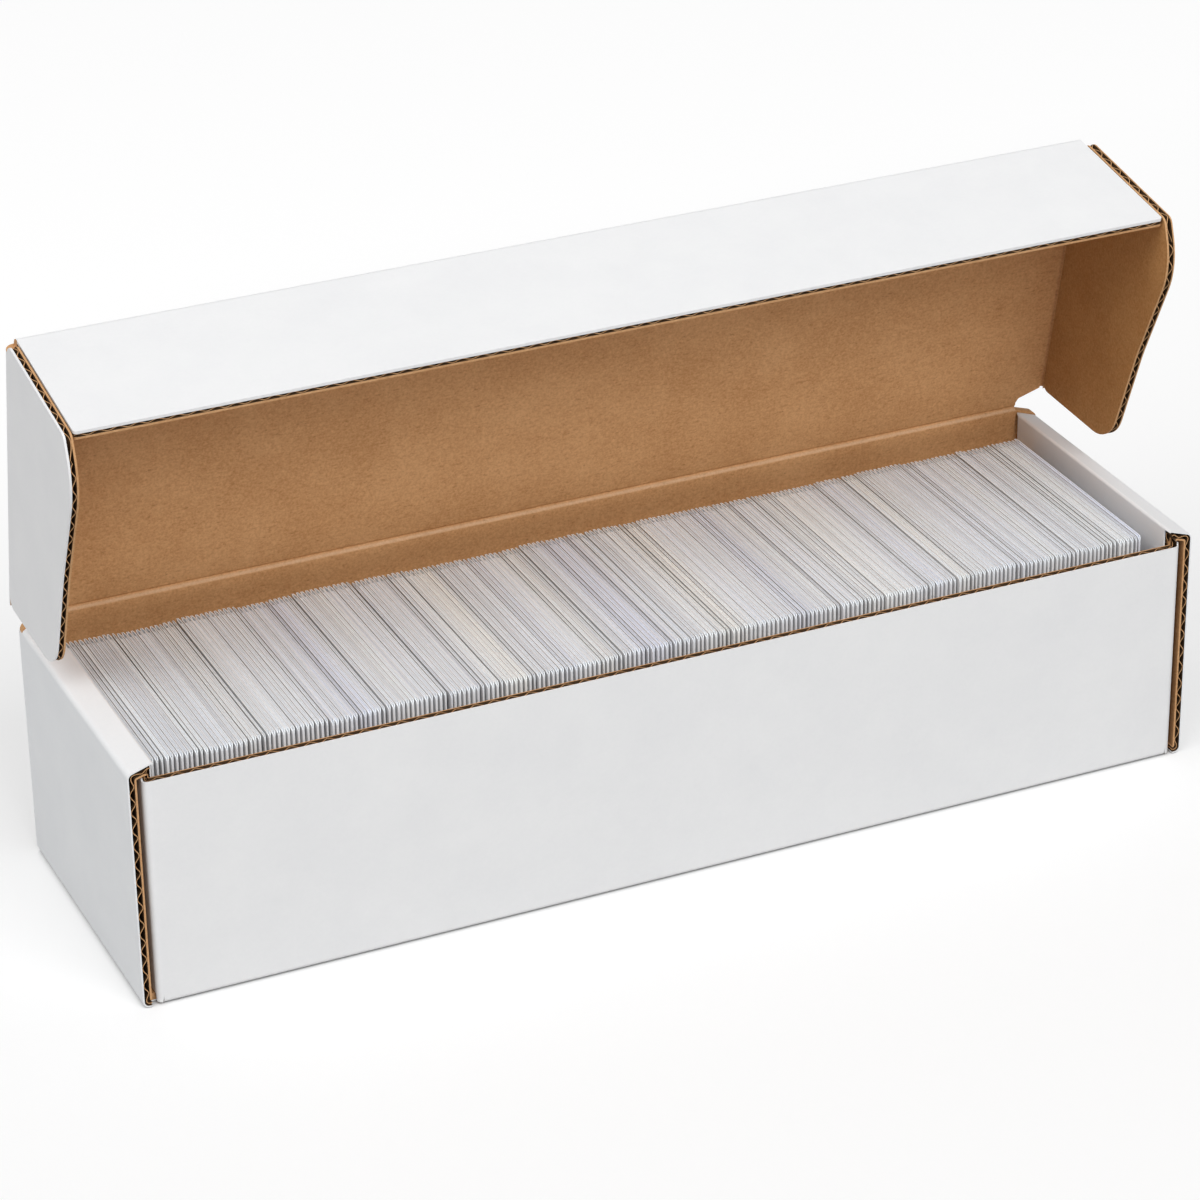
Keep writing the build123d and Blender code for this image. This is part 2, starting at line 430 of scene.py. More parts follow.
def roundedOutline(corners, radii, steps):
    corners = [Vector(corner) for corner in corners]
    befores, afters = corners[-1:] + corners, corners[1:] + corners[:1]
    outline = []
    for before, corner, after, radius in zip(befores, corners, afters, radii):
        arc = roundCorner(before, corner, after, radius, steps)[0]
        outline += [(point.x, point.y) for point, direction in arc]
    return outline


# Where a line of constant u enters and leaves an outline
def crossing(outline, u):
    hits = []
    for (u0, v0), (u1, v1) in zip(outline, outline[1:] + outline[:1]):
        if (u0 <= u) != (u1 <= u):
            hits.append(v0 + (v1 - v0) * (u - u0) / (u1 - u0))
    return min(hits), max(hits)


# Geometry trees

def startTree(name, sockets):
    tree = bpy.data.node_groups.new(name, "GeometryNodeTree")
    for title, kind in sockets:
        tree.interface.new_socket(title, in_out="INPUT", socket_type="NodeSocket" + kind)
    tree.interface.new_socket("Geometry", in_out="OUTPUT", socket_type="NodeSocketGeometry")
    entry = tree.nodes.new("NodeGroupInput")
    return tree, [Wire(tree, entry.outputs[index]) for index in range(len(sockets))]


def finishTree(tree, geometry):
    leave = tree.nodes.new("NodeGroupOutput")
    tree.links.new(geometry.socket, leave.inputs[0])
    return tree


def runTree(piece, tree, values):
    modifier = piece.modifiers.new(tree.name, "NODES")
    modifier.node_group = tree
    for item in tree.interface.items_tree:
        if item.in_out == "INPUT" and item.name in values:
            modifier[item.identifier] = values[item.name]
    shown = piece.evaluated_get(bpy.context.evaluated_depsgraph_get())
    mesh = bpy.data.meshes.new_from_object(shown)
    piece.modifiers.remove(modifier)
    piece.data = mesh
    mesh.name = piece.name


# The fluted sheet between the facings: a flat strip that a tree waves and thickens

def buildFluteTree():
    sockets = [("Geometry", "Geometry"), ("Pitch", "Float"), ("Amplitude", "Float"), ("Thickness", "Float"),
               ("Paper", "Material"), ("Rim", "Material")]
    tree, (sheet, pitch, amplitude, thickness, paper, rim) = startTree("fluteTree", sockets)
    run, loft = [addNode(tree, "GeometryNodeInputNamedAttribute", {"data_type": "FLOAT"}, {"Name": name})
                 for name in ("run", "loft")]
    uneven = (drift(tree, run * boardSet["unevenRate"]) - 0.5) * pitch * boardSet["uneven"]
    wave = mathNode(tree, "SINE", (run + uneven) * (2 * math.pi) / pitch) * amplitude * loft
    normal = addNode(tree, "GeometryNodeInputNormal", {}, {})
    lift = addNode(tree, "ShaderNodeVectorMath", {"operation": "SCALE"}, {0: normal, "Scale": wave})
    waved = addNode(tree, "GeometryNodeSetPosition", {}, {"Geometry": sheet, "Offset": lift})
    inputs = {"Mesh": waved, "Offset Scale": thickness, "Individual": False}
    raised = addNode(tree, "GeometryNodeExtrudeMesh", {"mode": "FACES"}, inputs)
    side = Wire(tree, raised.socket.node.outputs["Side"])
    under = addNode(tree, "GeometryNodeFlipFaces", {}, {"Mesh": waved})
    joined = addNode(tree, "GeometryNodeJoinGeometry", {}, {"Geometry": raised})
    tree.links.new(under.socket, joined.socket.node.inputs["Geometry"])
    inputs = {"Geometry": joined, "Distance": boardSet["weld"]}
    closed = addNode(tree, "GeometryNodeMergeByDistance", {}, inputs)
    real = addNode(tree, "GeometryNodeRealizeInstances", {}, {"Geometry": closed})
    done = addNode(tree, "GeometryNodeSetMaterial", {}, {"Geometry": real, "Material": paper})
    inputs = {"Geometry": done, "Selection": side, "Material": rim}
    return finishTree(tree, addNode(tree, "GeometryNodeSetMaterial", {}, inputs))


fluteTree = buildFluteTree()


def makeFlutes(name, stations, along, facings):
    (outer, inner), medium = facings, boardSet["medium"]
    under = (inner - outer - medium) / 2
    points, faces, runs, lofts = [], [], [], []
    run = 0.0
    for index, (point, normal, low, high, loft) in enumerate(stations):
        if index:
            step = point - stations[index - 1][0]
            run += step.length
            face = (2 * index - 2, 2 * index - 1, 2 * index + 1, 2 * index)
            faces.append(face if along.cross(step).dot(normal) > 0 else face[::-1])
        points += [point + normal * under + along * low, point + normal * under + along * high]
        runs += [run, run]
        lofts += [loft, loft]
    mesh = bpy.data.meshes.new(name)
    mesh.from_pydata(points, [], faces)
    for title, values in (("run", runs), ("loft", lofts)):
        mesh.attributes.new(title, "FLOAT", "POINT").data.foreach_set("value", values)
    piece = linkMesh(name, mesh)
    # the fluted sheet takes the near-black kraft, painted shade in its cells, and the lighter kraft on its
    # cut edges
    runTree(piece, fluteTree, {"Pitch": boardSet["pitch"], "Amplitude": (board - outer - inner - medium) / 2,
                               "Thickness": medium, "Paper": kraftHollow, "Rim": kraftCut})
    smooth(piece.data, boardSet["fluteSharpAngle"])
    return piece


def fineSteps(length):
    count = max(2, int(length / boardSet["pitch"] * boardSet["stepsPerFlute"]))
    return [length * index / count for index in range(count + 1)]


def seat(piece, body, nodes=()):
    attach(piece, body)
    if nodes:
        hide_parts(*nodes)


# A flat panel: two facings cut to one outline, with the flutes between

anywhere = (-1.0, 1.0)               # limits past any panel's edge
wholePanel = {"turned": False, "stack": anywhere, "run": anywhere}


def panelFlutes(outline, place, zone):
    drop, turned = boardSet["mediumDrop"], zone["turned"]

    def spot(stack, run):            # flutes run along v and stack along u, or the other way when turned
        return place(run, stack, 0) if turned else place(stack, run, 0)

    if turned:
        outline = [(v, u) for u, v in outline]
    normal = (place(0, 0, 1) - place(0, 0, 0)).normalized()
    start = max(min(u for u, v in outline), zone["stack"][0]) + drop
    end = min(max(u for u, v in outline), zone["stack"][1]) - drop
    stations = []
    for step in fineSteps(end - start):
        low, high = crossing(outline, start + step)
        low, high = max(low, zone["run"][0]), min(high, zone["run"][1])
        if high - low > boardSet["shortestFlute"]:
            stations.append((spot(start + step, 0), normal, low + drop, high - drop, 1.0))
    return stations, (spot(0, 1) - spot(0, 0)).normalized()


def flatPanel(name, outline, place, body, nodes, facings=boardFacings, zones=(wholePanel,), rim=white,
              kraft=kraftInside):
    outer, inner = facings
    parts = Parts()
    addPlate(parts, outline, place, half, half - outer, (white, hollowPaintedShade, rim))
    addPlate(parts, outline, place, inner - half, -half, (hollowPaintedShade, inside, cut))
    seat(makePiece(name, parts, [whiteAcross, kraft, kraftCut, kraftHollow]), body, nodes)
    for index, zone in enumerate(zones):
        stations, along = panelFlutes(outline, place, zone)
        seat(makeFlutes("%sFlutes%d" % (name, index + 1), stations, along, facings), body)


# A board bent along a path: walls with the flaps or rolls that are one piece with them

def bentBoard(name, path, lift, along, spans, sides, body, nodes, extra, facings=boardFacings):
    drop, crushed, (outer, inner) = boardSet["mediumDrop"], boardSet["crushedLoft"], facings
    faceStations = [(lift(face), lift(normal), *span) for (face, back, normal), span in zip(path, spans)]
    backStations = [(lift(back), lift(normal), *span) for (face, back, normal), span in zip(path, spans)]
    parts = Parts()
    addSkin(parts, faceStations, along, 0, -outer, (white, white, hollowPaintedShade, white))
    addSkin(parts, backStations, along, inner, 0, (hollowPaintedShade, cut, inside, cut))
    extra(parts)
    seat(makePiece(name, parts, [*sides, kraftCut, kraftHollow]), body, nodes)
    fluted = []
    for index in range(len(path) - 1):
        (face, back, startNormal), (nextFace, nextBack, endNormal) = path[index], path[index + 1]
        (startLow, startHigh), (endLow, endHigh) = spans[index], spans[index + 1]
        start, end = (face + back) / 2, (nextFace + nextBack) / 2
        length = (end - start).length
        straight = startNormal.dot(endNormal) > boardSet["straightFrom"]
        for step in fineSteps(length)[0 if not fluted else 1:]:
            share = step / length
            low = startLow + (endLow - startLow) * share + drop
            high = startHigh + (endHigh - startHigh) * share - drop
            ease = min(1.0, min(step, length - step) / boardSet["crushedRun"]) if straight else 0.0
            point, normal = start.lerp(end, share), startNormal.lerp(endNormal, share)
            fluted.append((lift(point), lift(normal), low, high, crushed + (1 - crushed) * ease))
    seat(makeFlutes(name + "Flutes", fluted, along, facings), body)


# Front and back walls, each with its two corner flaps round the bends

wallSet = {
    "frontFacings": (0.55 * mm, 0.42 * mm),
    "frontInsets": (1.9 * mm, 1.1 * mm),     # of the left and right corner flaps
    "rearInsets": (1.1 * mm, 1.1 * mm),
    "faceBend": 2.2 * mm,
    "backBend": 0.25 * mm,
    "flatBelow": 0.02,           # sideways lean of a normal on the flat wall
    "flapAbove": 0.97,           # and on a corner flap
    "cornerFoot": 0.55 * mm,
    "footRadius": 1.5 * mm,
    "footHollow": 0.02 * mm,
    "footSteps": 16,
    "lap": 1.3 * mm,
    "lapInset": 0.04 * mm,       # keeps two lapping faces from lying in one plane
    "edgeInset": 0.3 * mm,
    "shoulderRise": 0.7 * mm,
    "shoulderRadius": 3.0 * mm,
    "shoulderSteps": 6,
}


def wallPath(flapNode, insets):
    flapLow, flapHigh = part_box(flapNode)
    left, right = ((flapLow.x + flapHigh.x) / 2 - inset for inset in insets)
    depth = halfDepth - half
    freeEnd = min(abs(flapLow.y), abs(flapHigh.y))
    corners = [(-left, -freeEnd), (-left, -depth), (right, -depth), (right, -freeEnd)]
    return facedPath(corners, [wallSet["faceBend"]] * 2, [wallSet["backBend"]] * 2)


def wallSpans(path, flapNode, top):
    flapLow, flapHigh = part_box(flapNode)
    spans = []
    for face, back, normal in path:
        if abs(normal.x) > wallSet["flapAbove"]:
            spans.append((flapLow.z, flapHigh.z))
        elif abs(normal.x) > wallSet["flatBelow"]:
            spans.append((wallSet["cornerFoot"], top))
        else:
            spans.append((baseTop, top))
    return spans


def flatEnds(path):
    flat = [face.x for face, back, normal in path if abs(normal.x) < wallSet["flatBelow"]]
    return min(flat), max(flat)


# The long edge where the wall turns under into the base: square, with its corner rounded
def footFold(parts, ends):
    middle = Vector((0, -halfDepth + board, baseTop))
    radius, steps = wallSet["footRadius"], wallSet["footSteps"]
    core = board - radius
    stations, faces = [], []
    for step in range(steps + 1):
        angle = math.pi / 2 * step / steps
        across, down = math.cos(angle), math.sin(angle)
        lead = core * (across + down)
        distance = lead + math.sqrt(max(0.0, lead ** 2 - 2 * core ** 2 + radius ** 2))
        if down * board < across * core:
            distance = board / across
        elif across * board < down * core:
            distance = board / down
        stations.append((middle, Vector((0, -across, -down)), *ends))
        faces.append(distance)
    addSkin(parts, stations, xAxis, faces, wallSet["footHollow"], (white, white, inside, white))


def buildFrontWall():
    node = "front_right_corner_flap"
    path = wallPath(node, wallSet["frontInsets"])
    spans = wallSpans(path, node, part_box("front_wall")[1].z)
    bentBoard("frontWall", path, lambda p: Vector((p.x, p.y, 0)), zAxis, spans, (whiteAcross, kraftInside),
              "box", ["front_wall", "front_left_corner_flap", "front_right_corner_flap"],
              lambda parts: footFold(parts, flatEnds(path)), wallSet["frontFacings"])


hingeSet = {
    "below": 12.0 * mm,
    "above": 2.6 * mm,
    "sideStep": 0.01 * mm,       # over which the back wall's top drops beside the hinge
    "bulge": 0.95 * mm,
    "bulgeTop": 0.2 * mm,        # where the bulge starts under the crease
    "bulgeRise": 0.95 * mm,
    "groove": 0.45 * mm,
    "groovePlace": 0.7 * mm,
    "grooveWidth": 0.5 * mm,
    "turn": 1.5 * mm,
    # a paler strip on the ridge's up-facing side: partly stretched paper, partly a painted highlight
    "wornPlace": -0.25 * mm,
    "wornWidth": 0.45 * mm,
    "worn": 0.60,
    "steps": 72,
}


def buildBackWall():
    node = "rear_right_corner_flap"
    path = wallPath(node, wallSet["rearInsets"])
    ends = flatEnds(path)
    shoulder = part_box(node)[1].z
    top, outside = hinge.z - hingeSet["below"], hingeHalf + hingeSet["sideStep"]
    tops = ((-outside, shoulder), (-hingeHalf, top), (hingeHalf, top), (outside, shoulder))
    stepped, spans = [], []
    for index, ((face, back, normal), span) in enumerate(zip(path, wallSpans(path, node, shoulder))):
        stepped.append((face, back, normal))
        spans.append(span)
        if face.x < 0 and index + 1 < len(path) and path[index + 1][0].x > 0:
            for x, height in tops:
                stepped.append((Vector((x, face.y)), Vector((x, back.y)), normal))
                spans.append((baseTop, height))
    turned = Matrix.Rotation(math.pi, 4, "Z")

    def extra(parts):
        first = len(parts.points)
        footFold(parts, ends)
        for index in range(first, len(parts.points)):
            parts.points[index] = turned @ parts.points[index]
        inset, lapInset, outerX = wallSet["edgeInset"], wallSet["lapInset"], halfLength - wallSet["edgeInset"]
        foot, lap = shoulder - wallSet["lap"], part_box("right_outer_end_wall")[1].z + wallSet["lap"]
        corners = [(hingeHalf, foot), (ends[1], foot), (ends[1], lap), (outerX, lap),
                   (outerX, roofTop() - endSet["roofDrop"] + wallSet["shoulderRise"]),
                   (hingeHalf, hinge.z - wallSet["shoulderRise"])]
        radii = [inset] * 4 + [wallSet["shoulderRadius"], inset]
        outline = roundedOutline(corners, radii, wallSet["shoulderSteps"])
        for side in sideNames:
            addPlate(parts, outline, lambda x, z, lift: Vector((side * x, halfDepth - half + lift, z)),
                     half - lapInset, lapInset - half, (white, inside, cut))

    bentBoard("backWall", stepped, lambda p: Vector((-p.x, -p.y, 0)), zAxis, spans,
              (whiteAcross, kraftInside), "box",
              ["back_wall", "rear_left_corner_flap", "rear_right_corner_flap"], extra)


# The ends: outer wall, roll-over band and inner wall in one strip

endSet = {
    "roofDrop": 2.0 * mm,
    "roofRise": 0.3 * mm,
    "faceBends": (2.2 * mm, 2.3 * mm, 0.8 * mm),        # at the foot, the outer and the inner top edge
    "backBends": (0.02 * mm, 0.3 * mm, 0.3 * mm),
    "footLead": 0.05 * mm,
    "rearStop": 0.15 * mm,
    "rearGap": 1.8 * mm,         # between the inner wall and the back wall
    "bandAbove": 0.2,            # upward lean of a normal where the outer wall becomes the band
    "innerBelow": -0.9,          # sideways lean of a normal on the inner wall
    "tabRadius": 2.0 * mm,
    "tabRootRadius": 0.1 * mm,
    "tabSteps": 4,
    "tipDepth": 0.01 * mm,       # how near the lowest point the corners of a tab's tip lie
}


def roofTop():
    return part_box("right_top_band")[1].z + endSet["roofRise"]


def buildEnd(side):
    sideName = sideNames[side]
    innerLow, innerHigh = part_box("right_inner_end_wall")
    tabTip = innerLow.z
    roof = roofTop()
    outerX = halfLength - half
    inX = innerX + half
    corners = [(halfLength - board - endSet["footLead"], half), (outerX, half),
               (outerX, roof - endSet["roofDrop"] - half), (inX, roof - half), (inX, baseTop)]
    path = facedPath(corners, endSet["faceBends"], endSet["backBends"])
    rear = halfDepth - board - endSet["rearStop"]
    spans = []
    for face, back, normal in path:
        if normal.x > 0 or normal.y < 0:
            spans.append((-halfDepth, rear if normal.y > endSet["bandAbove"] else halfDepth))
        else:
            turned = normal.x ** 2
            front = -halfDepth + (halfDepth - innerHigh.y) * turned
            spans.append((front if normal.x < endSet["innerBelow"] else -halfDepth,
                          rear - endSet["rearGap"] * turned))

    def extra(parts):
        points = [vertex.co for vertex in frame["nodes"]["right_inner_end_wall"].data.vertices]
        tabs = sorted({round(point.y, 5) for point in points if point.z < tabTip + endSet["tipDepth"]})
        radius, rootRadius = endSet["tabRadius"], endSet["tabRootRadius"]
        for low, high in zip(tabs[0::2], tabs[1::2]):
            low, high = low - radius, high + radius
            outline = roundedOutline([(low, baseTop), (low, tabTip), (high, tabTip), (high, baseTop)],
                                     [rootRadius, radius, radius, rootRadius], endSet["tabSteps"])
            addPlate(parts, outline, lambda y, z, lift: Vector((side * (inX - lift), y, z)), half, -half,
                     (white, inside, cut))

    # the ends' white is the brighter, cooler copy: painted light against the lid's bounce and shade
    bentBoard(sideName + "End", path, lambda p: Vector((side * p.x, 0, p.y)), yAxis, spans,
              # the ends' kraft side is the darkened copy, painted shade in the corner gaps
              (whiteUprightPaintedLift, kraftGap), "box",
              [sideName + "_outer_end_wall", sideName + "_top_band", sideName + "_inner_end_wall"], extra)


# The lid with its flap and ears

lidSet = {
    "panelSteps": 4,
    "flapSteps": 5,
    "flapCornerRadius": 1.2 * mm,
    "flapRootRadius": 0.1 * mm,
    "flapFacings": (1.05 * mm, 0.80 * mm),       # pressed thick at the knife's edge
    "creaseLead": 0.5 * mm,
    "creaseDepth": 0.8 * mm,
    "cornerNotch": (0.9 * mm, 1.7 * mm),
}


def lidPlace(x, along, lift):
    return hinge + xAxis * x + alongLid * along - intoLid * lift


foldBack = -bend * (1 + intoLid.dot(flapOut)) / alongLid.dot(flapOut)
flapBendMiddle = fold + intoLid * bend + alongLid * foldBack
lidEnd = lidReach + foldBack
flapStart = (flapBendMiddle - fold).dot(flapDown)
earFoot = reach("left_ear", hinge, alongLid)[0]
earTop = lidReach + half
lidWide = earX - bend


def buildLid():
    wide = lidWide - lidSet["creaseLead"]
    low, inset, (step, rise) = hingeSet["above"], wallSet["edgeInset"], lidSet["cornerNotch"]
    right = [(hingeHalf, low), (hingeHalf + step, low + rise), (wide, earFoot), (wide, lidEnd)]
    left = [(-x, along) for x, along in reversed(right)]
    radii = [inset, step, inset, inset]
    outline = roundedOutline(right + left, radii + radii[::-1], lidSet["panelSteps"])
    flatPanel("lidPanel", outline, lidPlace, "lid", ["lid_panel"])


def buildFlap():
    radius, rootRadius = lidSet["flapCornerRadius"], lidSet["flapRootRadius"]
    corners = [(-flapWide, flapStart), (flapWide, flapStart), (flapWide, flapDepth), (-flapWide, flapDepth)]
    outline = roundedOutline(corners, [rootRadius, rootRadius, radius, radius], lidSet["flapSteps"])

    def place(x, down, lift):
        return fold + xAxis * x + flapDown * down + flapOut * lift

    flatPanel("frontFlap", outline, place, "flap", ["lid_front_flap"], lidSet["flapFacings"])


earSet = {
    "shoulderShares": (0.905, 1.15),     # of the lid's reach and the flap's depth
    "waistShares": (0.52, 0.97),
    "tipShares": (0.134, 0.846),
    "rise": 2.6 * mm,
    "radii": (3.0 * mm, 4.0 * mm, 3.0 * mm, 27.0 * mm, 80.0 * mm, 15.0 * mm),
    "steps": 10,
    "facings": {-1: (0.75 * mm, 0.70 * mm), 1: (0.50 * mm, 0.70 * mm)},
    "rims": {-1: white, 1: cut},
    "topZone": 5.0 * mm,         # the flutes show on the top edge and on the long front edge
    "zoneGap": 0.4 * mm,
}


def buildEar(side):
    node = sideNames[side] + "_ear"
    curved = [(flapDepth * depth, lidReach * along) for along, depth in
              (earSet["shoulderShares"], earSet["waistShares"], earSet["tipShares"])]
    start = bend + lidSet["creaseLead"]
    corners = [(start, earFoot), (start, earTop), (flapDepth, earTop + earSet["rise"])] + curved
    outline = roundedOutline(corners, earSet["radii"], earSet["steps"])

    def place(depth, along, lift):
        return hinge + xAxis * side * (earX + lift) + alongLid * along + intoLid * depth

    border = earTop - earSet["topZone"]
    zones = ({"turned": True, "stack": (anywhere[0], border - earSet["zoneGap"]), "run": anywhere},
             {"turned": False, "stack": anywhere, "run": (border, anywhere[1])})
    # the ears take the darker kraft, painted shade
    flatPanel(sideNames[side] + "Ear", outline, place, node, [node], earSet["facings"][side], zones,
              earSet["rims"][side], kraftEar)


# The folds: the lid's hinge, the flap's fold and the ears' folds

def bentStrip(name, stations, along, outer, inner, node, worn=()):
    parts = Parts()
    addSkin(parts, stations, along, outer, inner, (white, cut, inside, cut))
    piece = makePiece(name, parts, [whiteAcross, kraftInside, kraftCut, kraftHollow])
    if worn:
        levels = [level for level in worn for corner in range(ring)]
        piece.data.attributes.new("worn", "FLOAT", "POINT").data.foreach_set("value", levels)
    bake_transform(piece)
    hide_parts(node)


def cornerStations(middle, fromNormal, toNormal, low, high):
    stations = []
    steps = boardSet["foldSteps"]
    angle = fromNormal.angle(toNormal)
    axis = fromNormal.cross(toNormal).normalized()
    for step in range(steps + 1):
        normal = Quaternion(axis, angle * step / steps) @ fromNormal
        stations.append((middle + normal * bend, normal, low, high))
    return stations


def hingeBulge(run):
    rise = min(1.0, max(0.0, (hingeSet["bulgeTop"] - run) / hingeSet["bulgeRise"]))
    foot = hingeSet["bulgeTop"] - hingeSet["bulgeRise"]
    fade = min(1.0, max(0.0, (foot - run) / (foot + hingeSet["below"])))
    return hingeSet["bulge"] * math.sin(math.pi / 2 * rise) ** 2 * (1 - fade) ** 2 * (1 + 2 * fade)


def hump(run, place, width):
    return math.exp(-((run - place) / width) ** 2)


def buildHingeFold():
    steps, below, above, turn = hingeSet["steps"], hingeSet["below"], hingeSet["above"], hingeSet["turn"]
    stations, inner, worn = [], [], []
    for step in range(steps + 1):
        run = -below + (below + above) * step / steps
        lean = min(1.0, max(0.0, run / (2 * turn) + 0.5))
        point = hinge + (zAxis * run if run < 0 else alongLid * run)
        stations.append((point, yAxis.lerp(-intoLid, lean).normalized(), -hingeHalf, hingeHalf))
        groove = hingeSet["groove"] * hump(run, hingeSet["groovePlace"], hingeSet["grooveWidth"])
        inner.append(-half - hingeBulge(run) + groove)
        # the paler strip, partly painted highlight, sits on the ridge's up-facing side
        worn.append(hingeSet["worn"] * hump(run, hingeSet["wornPlace"], hingeSet["wornWidth"]))
    bentStrip("lidHingeFold", stations, xAxis, half, inner,
              "lid_crease", worn)


def buildFlapFold():
    stations = cornerStations(flapBendMiddle, -intoLid, flapOut, -flapWide, flapWide)
    bentStrip("flapFold", stations, xAxis, half, -half,
              "flap_crease")


def buildEarFold(side):
    sideName, lead = sideNames[side], lidSet["creaseLead"]
    middle = hinge + xAxis * side * lidWide + intoLid * bend
    stations = cornerStations(middle, -intoLid, xAxis * side, earFoot, lidEnd)
    start, end = stations[0][0], stations[-1][0]
    before = (start - xAxis * side * lead, -intoLid, earFoot, lidEnd)
    after = (end + intoLid * lead, xAxis * side, earFoot, lidEnd)
    inner = [-half] + [lidSet["creaseDepth"] - half] * len(stations) + [-half]
    bentStrip(sideName + "EarFold", [before] + stations + [after], alongLid, half, inner,
              sideName + "_ear_crease")


buildFrontWall()
buildBackWall()
for side in sideNames:
    buildEnd(side)
print("tray: walls, ends and corner flaps")
buildLid()
buildFlap()
for side in sideNames:
    buildEar(side)
buildHingeFold()
buildFlapFold()
for side in sideNames:
    buildEarFold(side)
print("lid: panel, flap, ears and folds")


# The base keeps its solid: white below, kraft above

baseSet = {
    "cloud": (40.0, 5.0, 0.6),
    "grain": (1150.0, 5.0, 0.65),
    "stops": [(0.3, 0.0), (0.7, 1.0)],
    "roughness": 0.6,
    "roughnessSwing": 0.2,
    "grainHeight": 0.08 * mm,
    "bump": 0.6,
    "specular": 0.5,
}


def baseBoard():
    material, tree, place = startMaterial("baseBoard")
    cloud, grain = noise(tree, place, baseSet["cloud"]), noise(tree, place, baseSet["grain"])
    upper = mathNode(tree, "GREATER_THAN", alongAxis(tree, place, "Z"), boardSet["whiteFacing"])
    paper = mixColour(tree, ramp(tree, cloud, baseSet["stops"]), whiteSet["low"], whiteSet["high"])
    kraft = mixColour(tree, ramp(tree, grain, baseSet["stops"]), kraftSet["dark"], kraftSet["light"])
    finishPaper(tree, baseSet, mixColour(tree, upper, paper, kraft), grain, grain * baseSet["grainHeight"])
    return material


basePanel = frame["nodes"]["base_panel"]
basePanel.data.materials.clear()
basePanel.data.materials.append(baseBoard())


# The row of cards in clear holders

cardSet = {
    "pitch": 1.63 * mm,
    "wall": 0.36 * mm,           # of the holder
    "stockInset": (0.40 * mm, 1.2 * mm, 3.4 * mm),       # card inside its holder, at the top, front and rear
    "frontCorner": 1.5 * mm,
    "frontSteps": 3,
    "rearCorner": 0.6 * mm,
    "frontSeal": (1.0 * mm, 0.40 * mm),      # run of the thin sealed edge, and half its thickness at the tip
    "rearSeal": (2.6 * mm, 0.26 * mm),
    "sharpAngle": 14,
    "shift": (0.02 * mm, 0.14 * mm, 0.12 * mm),
    "runShift": (0.04 * mm, 0.55 * mm, 0.30 * mm),
    "tilt": (0.0, 0.0012, 0.0016),
    "thinnest": 0.84,
    "runEnd": 0.64,              # thickness share of the last card of a run
    "runLength": 7.0,
    "wanderRate": 0.06,          # how fast and how far the runs leave that length
    "wander": 6.0,
    "toneDrift": 0.06,           # how fast the tint and the depth change from card to card
    "toneStart": 20.0,           # where on the drifting noise the row begins
    "toneGain": 2.2,
    "toneLow": -0.6,
    "toneJitter": 0.10,
    "depthDrift": 0.45,
    "depthStart": 60.0,
    "seed": 7,                   # each random draw adds its own number to it
    "draws": {"shift": 0, "runShift": 1, "thickness": 2, "tilt": 3, "tone": 4, "shade": 6},
}


def buildCardTree():
    sockets = [("Geometry", "Geometry"), ("Count", "Int"), ("Start", "Vector"), ("Step", "Vector"),
               ("Shift", "Vector"), ("Run Shift", "Vector"), ("Tilt", "Vector"), ("Thinnest", "Float"),
               ("Run End", "Float"), ("Run Length", "Float"), ("Tone Drift", "Float"),
               ("Depth Drift", "Float"), ("Seed", "Int"), ("Material", "Material")]
    tree, wires = startTree("cardRowTree", sockets)
    card, count, start, step, shift, runShift, tilt, *wires = wires
    thinnest, runEnd, runLength, toneDrift, depthDrift, seed, paper = wires
    index = addNode(tree, "GeometryNodeInputIndex", {}, {})

    def runOf(place):
        wander = drift(tree, place * cardSet["wanderRate"]) * cardSet["wander"]
        return mathNode(tree, "FLOOR", place / runLength + wander)

    def randomVector(size, chosen, draw):
        low = addNode(tree, "ShaderNodeVectorMath", {"operation": "SCALE"}, {0: size, "Scale": -1.0})
        inputs = {0: low, 1: size, "ID": chosen, "Seed": seed + cardSet["draws"][draw]}
        return addNode(tree, "FunctionNodeRandomValue", {"data_type": "FLOAT_VECTOR"}, inputs)

    def randomFloat(low, high, draw):
        inputs = {2: low, 3: high, "ID": index, "Seed": seed + cardSet["draws"][draw]}
        return addNode(tree, "FunctionNodeRandomValue", {"data_type": "FLOAT"}, inputs, 1)

    run = runOf(index)
    last = mathNode(tree, "GREATER_THAN", runOf(index + 1) - run, 0.5)
    inputs = {"Count": count, "Start Location": start, "Offset": step}
    points = addNode(tree, "GeometryNodeMeshLine", {}, inputs)
    for offset in (randomVector(shift, index, "shift"), randomVector(runShift, run, "runShift")):
        points = addNode(tree, "GeometryNodeSetPosition", {}, {"Geometry": points, "Offset": offset})
    thickness = randomFloat(thinnest, 1.0, "thickness") * (1 - last * (1 - runEnd))
    size = addNode(tree, "ShaderNodeCombineXYZ", {}, {0: thickness, 1: 1.0, 2: 1.0})
    turn = randomVector(tilt, index, "tilt")
    inputs = {"Points": points, "Instance": card, "Rotation": turn, "Scale": size}
    row = addNode(tree, "GeometryNodeInstanceOnPoints", {}, inputs)
    tone = drift(tree, index * toneDrift + cardSet["toneStart"]) * cardSet["toneGain"] + cardSet["toneLow"]
    tone = tone + randomFloat(-cardSet["toneJitter"], cardSet["toneJitter"], "tone")
    depth = drift(tree, index * depthDrift + cardSet["depthStart"])
    shade = randomFloat(0.0, 1.0, "shade")
    for name, value in (("tone", tone), ("depth", depth), ("shade", shade)):
        row = addNode(tree, "GeometryNodeStoreNamedAttribute", {"data_type": "FLOAT", "domain": "INSTANCE"},
                      {"Geometry": row, "Name": name, "Value": value})
    real = addNode(tree, "GeometryNodeRealizeInstances", {}, {"Geometry": row})
    done = addNode(tree, "GeometryNodeSetMaterial", {}, {"Geometry": real, "Material": paper})
    return finishTree(tree, done)


